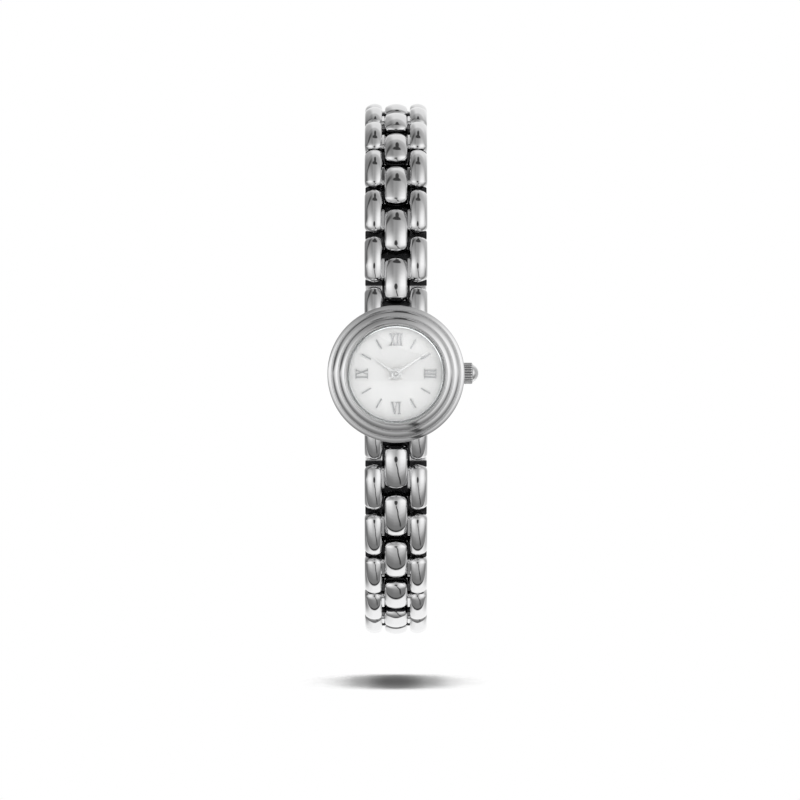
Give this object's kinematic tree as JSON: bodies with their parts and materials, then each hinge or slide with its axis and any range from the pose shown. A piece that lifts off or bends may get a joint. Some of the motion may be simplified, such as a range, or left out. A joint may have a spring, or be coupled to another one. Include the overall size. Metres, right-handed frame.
{
  "type": "wristwatch",
  "caption": "Small round steel wristwatch with a stepped bezel, white dial and fluted crown, on a closed three-row link bracelet with a folding clasp.",
  "frame": {"origin": "centre of the case back's outer face", "axes": "dial faces -Y, 12 o'clock is +Z, the crown is on +X"},
  "size_m": [0.0199, 0.0533, 0.0714],
  "materials": {
    "polished_steel": "mirror polished stainless steel",
    "link_steel": "mirror polished stainless steel",
    "plain_steel": "plain turned steel",
    "crystal_glass": "clear mineral crystal",
    "clear_gasket": "translucent nylon",
    "black_rubber": "matt",
    "dial_white": "white lacquer",
    "marker_silver": "polished silver",
    "wheel_brass": "satin",
    "magnet": "sintered",
    "soft_iron": "stamped",
    "coil_copper": "enamelled wire",
    "plate_nickel": "nickel plated brass",
    "ring_plastic": "moulded",
    "cell_steel": "drawn can",
    "board_green": "coated laminate"
  },
  "bodies": {
    "head": {"case_body": "polished_steel", "bezel": "polished_steel", "crystal": "crystal_glass", "crystal_gasket": "clear_gasket", "case_back": "polished_steel", "case_back_gasket": "black_rubber", "case_tube": "plain_steel", "dial": "dial_white", "hour_markers": "marker_silver", "stator": "soft_iron", "coil": "coil_copper", "main_plate": "plate_nickel", "train_bridge": "plate_nickel", "bridge_screws": "plain_steel", "movement_ring": "ring_plastic", "battery": "cell_steel", "battery_clamp": "plain_steel", "circuit_board": "board_green", "lug_pins": "plain_steel"},
    "minute_works": {"minute_hand": "marker_silver", "centre_wheel": "wheel_brass"},
    "hour_works": {"hour_hand": "marker_silver", "hour_wheel": "wheel_brass"},
    "minute_wheel": {"minute_wheel": "wheel_brass"},
    "intermediate_wheel": {"intermediate_wheel": "wheel_brass"},
    "rotor": {"rotor": "magnet"},
    "sliding_pinion": {"sliding_pinion": "plain_steel"},
    "crown": {"crown": "polished_steel", "stem": "plain_steel", "crown_gasket": "black_rubber"},
    "upper_link_01": {"upper_link_01": "link_steel"},
    "upper_link_02": {"upper_link_02": "link_steel"},
    "upper_link_03": {"upper_link_03": "link_steel"},
    "upper_link_04": {"upper_link_04": "link_steel"},
    "upper_link_05": {"upper_link_05": "link_steel"},
    "upper_link_06": {"upper_link_06": "link_steel"},
    "upper_link_07": {"upper_link_07": "link_steel"},
    "upper_link_08": {"upper_link_08": "link_steel"},
    "upper_link_09": {"upper_link_09": "link_steel"},
    "upper_link_10": {"upper_link_10": "link_steel"},
    "upper_link_11": {"upper_link_11": "link_steel"},
    "lower_link_01": {"lower_link_01": "link_steel"},
    "lower_link_02": {"lower_link_02": "link_steel"},
    "lower_link_03": {"lower_link_03": "link_steel"},
    "lower_link_04": {"lower_link_04": "link_steel"},
    "lower_link_05": {"lower_link_05": "link_steel"},
    "lower_link_06": {"lower_link_06": "link_steel"},
    "lower_link_07": {"lower_link_07": "link_steel"},
    "lower_link_08": {"lower_link_08": "link_steel"},
    "lower_link_09": {"lower_link_09": "link_steel"},
    "lower_link_10": {"lower_link_10": "link_steel"},
    "lower_link_11": {"lower_link_11": "link_steel"},
    "clasp_inner_blade": {"clasp_inner_blade": "polished_steel", "clasp_blade_pin": "plain_steel"},
    "clasp_middle_blade": {"clasp_middle_blade": "polished_steel"},
    "clasp_cover": {"clasp_cover": "polished_steel", "clasp_cover_pin": "plain_steel", "clasp_spring_bar": "plain_steel"}
  },
  "joints": [
    {"name": "minute_hand_turn", "type": "hinge", "parent": "head", "child": "minute_works", "pos_m": [0, 0, 0], "axis": [0, -1, 0], "continuous": true},
    {"name": "hour_hand_turn", "type": "hinge", "parent": "head", "child": "hour_works", "pos_m": [0, 0, 0], "axis": [0, -1, 0], "continuous": true},
    {"name": "minute_wheel_turn", "type": "hinge", "parent": "head", "child": "minute_wheel", "pos_m": [0.00156, 0, -0.0009], "axis": [0, -1, 0], "continuous": true},
    {"name": "intermediate_wheel_turn", "type": "hinge", "parent": "head", "child": "intermediate_wheel", "pos_m": [-0.00127, 0, 0.00152], "axis": [0, -1, 0], "continuous": true},
    {"name": "rotor_turn", "type": "hinge", "parent": "head", "child": "rotor", "pos_m": [-0.00296, 0, 0.00213], "axis": [0, -1, 0], "continuous": true},
    {"name": "crown_turn", "type": "hinge", "parent": "head", "child": "sliding_pinion", "pos_m": [0, -0.00195, 0], "axis": [1, 0, 0], "continuous": true},
    {"name": "crown_pull", "type": "slide", "parent": "sliding_pinion", "child": "crown", "axis": [1, 0, 0], "range_m": [0, 0.0008]},
    {"name": "upper_hinge_01", "type": "hinge", "parent": "head", "child": "upper_link_01", "pos_m": [0, -0.0019, 0.01029], "axis": [1, 0, 0], "range_deg": [0, 15]},
    {"name": "upper_hinge_02", "type": "hinge", "parent": "upper_link_01", "child": "upper_link_02", "pos_m": [0, -0.00037, 0.01692], "axis": [1, 0, 0], "range_deg": [0, 15]},
    {"name": "upper_hinge_03", "type": "hinge", "parent": "upper_link_02", "child": "upper_link_03", "pos_m": [0, 0.00261, 0.02303], "axis": [1, 0, 0], "range_deg": [0, 15]},
    {"name": "upper_hinge_04", "type": "hinge", "parent": "upper_link_03", "child": "upper_link_04", "pos_m": [0, 0.00689, 0.02831], "axis": [1, 0, 0], "range_deg": [0, 19]},
    {"name": "upper_hinge_05", "type": "hinge", "parent": "upper_link_04", "child": "upper_link_05", "pos_m": [0, 0.01253, 0.03211], "axis": [1, 0, 0], "range_deg": [0, 20]},
    {"name": "upper_hinge_06", "type": "hinge", "parent": "upper_link_05", "child": "upper_link_06", "pos_m": [0, 0.01906, 0.03399], "axis": [1, 0, 0], "range_deg": [0, 17]},
    {"name": "upper_hinge_07", "type": "hinge", "parent": "upper_link_06", "child": "upper_link_07", "pos_m": [0, 0.02586, 0.03411], "axis": [1, 0, 0], "range_deg": [0, 18]},
    {"name": "upper_hinge_08", "type": "hinge", "parent": "upper_link_07", "child": "upper_link_08", "pos_m": [0, 0.03243, 0.03235], "axis": [1, 0, 0], "range_deg": [0, 20]},
    {"name": "upper_hinge_09", "type": "hinge", "parent": "upper_link_08", "child": "upper_link_09", "pos_m": [0, 0.03813, 0.02864], "axis": [1, 0, 0], "range_deg": [0, 21]},
    {"name": "upper_hinge_10", "type": "hinge", "parent": "upper_link_09", "child": "upper_link_10", "pos_m": [0, 0.04232, 0.02329], "axis": [1, 0, 0], "range_deg": [0, 20]},
    {"name": "upper_hinge_11", "type": "hinge", "parent": "upper_link_10", "child": "upper_link_11", "pos_m": [0, 0.04465, 0.0169], "axis": [1, 0, 0], "range_deg": [0, 16]},
    {"name": "lower_hinge_01", "type": "hinge", "parent": "head", "child": "lower_link_01", "pos_m": [0, -0.0019, -0.01029], "axis": [-1, 0, 0], "range_deg": [0, 15]},
    {"name": "lower_hinge_02", "type": "hinge", "parent": "lower_link_01", "child": "lower_link_02", "pos_m": [0, -0.00037, -0.01692], "axis": [-1, 0, 0], "range_deg": [0, 15]},
    {"name": "lower_hinge_03", "type": "hinge", "parent": "lower_link_02", "child": "lower_link_03", "pos_m": [0, 0.00261, -0.02303], "axis": [-1, 0, 0], "range_deg": [0, 15]},
    {"name": "lower_hinge_04", "type": "hinge", "parent": "lower_link_03", "child": "lower_link_04", "pos_m": [0, 0.00689, -0.02831], "axis": [-1, 0, 0], "range_deg": [0, 19]},
    {"name": "lower_hinge_05", "type": "hinge", "parent": "lower_link_04", "child": "lower_link_05", "pos_m": [0, 0.01253, -0.03211], "axis": [-1, 0, 0], "range_deg": [0, 20]},
    {"name": "lower_hinge_06", "type": "hinge", "parent": "lower_link_05", "child": "lower_link_06", "pos_m": [0, 0.01906, -0.03399], "axis": [-1, 0, 0], "range_deg": [0, 17]},
    {"name": "lower_hinge_07", "type": "hinge", "parent": "lower_link_06", "child": "lower_link_07", "pos_m": [0, 0.02586, -0.03411], "axis": [-1, 0, 0], "range_deg": [0, 18]},
    {"name": "lower_hinge_08", "type": "hinge", "parent": "lower_link_07", "child": "lower_link_08", "pos_m": [0, 0.03243, -0.03235], "axis": [-1, 0, 0], "range_deg": [0, 20]},
    {"name": "lower_hinge_09", "type": "hinge", "parent": "lower_link_08", "child": "lower_link_09", "pos_m": [0, 0.03813, -0.02864], "axis": [-1, 0, 0], "range_deg": [0, 21]},
    {"name": "lower_hinge_10", "type": "hinge", "parent": "lower_link_09", "child": "lower_link_10", "pos_m": [0, 0.04232, -0.02329], "axis": [-1, 0, 0], "range_deg": [0, 20]},
    {"name": "lower_hinge_11", "type": "hinge", "parent": "lower_link_10", "child": "lower_link_11", "pos_m": [0, 0.04465, -0.0169], "axis": [-1, 0, 0], "range_deg": [0, 16]},
    {"name": "inner_blade_hinge", "type": "hinge", "parent": "upper_link_11", "child": "clasp_inner_blade", "pos_m": [0, 0.04536, 0.01013], "axis": [1, 0, 0], "range_deg": [0, 30]},
    {"name": "middle_blade_hinge", "type": "hinge", "parent": "clasp_inner_blade", "child": "clasp_middle_blade", "pos_m": [0, 0.04476, -0.00723], "axis": [-1, 0, 0], "range_deg": [0, 82.5]},
    {"name": "cover_hinge", "type": "hinge", "parent": "clasp_middle_blade", "child": "clasp_cover", "pos_m": [0, 0.04546, 0.00793], "axis": [1, 0, 0], "range_deg": [0, 165]}
  ],
  "couplings": [
    {"joint": "hour_hand_turn", "follows": "minute_hand_turn", "ratio": 0.083333},
    {"joint": "minute_wheel_turn", "follows": "minute_hand_turn", "ratio": -0.33333},
    {"joint": "intermediate_wheel_turn", "follows": "minute_hand_turn", "ratio": -10},
    {"joint": "rotor_turn", "follows": "minute_hand_turn", "ratio": 90},
    {"joint": "cover_hinge", "follows": "middle_blade_hinge", "ratio": 2}
  ]
}
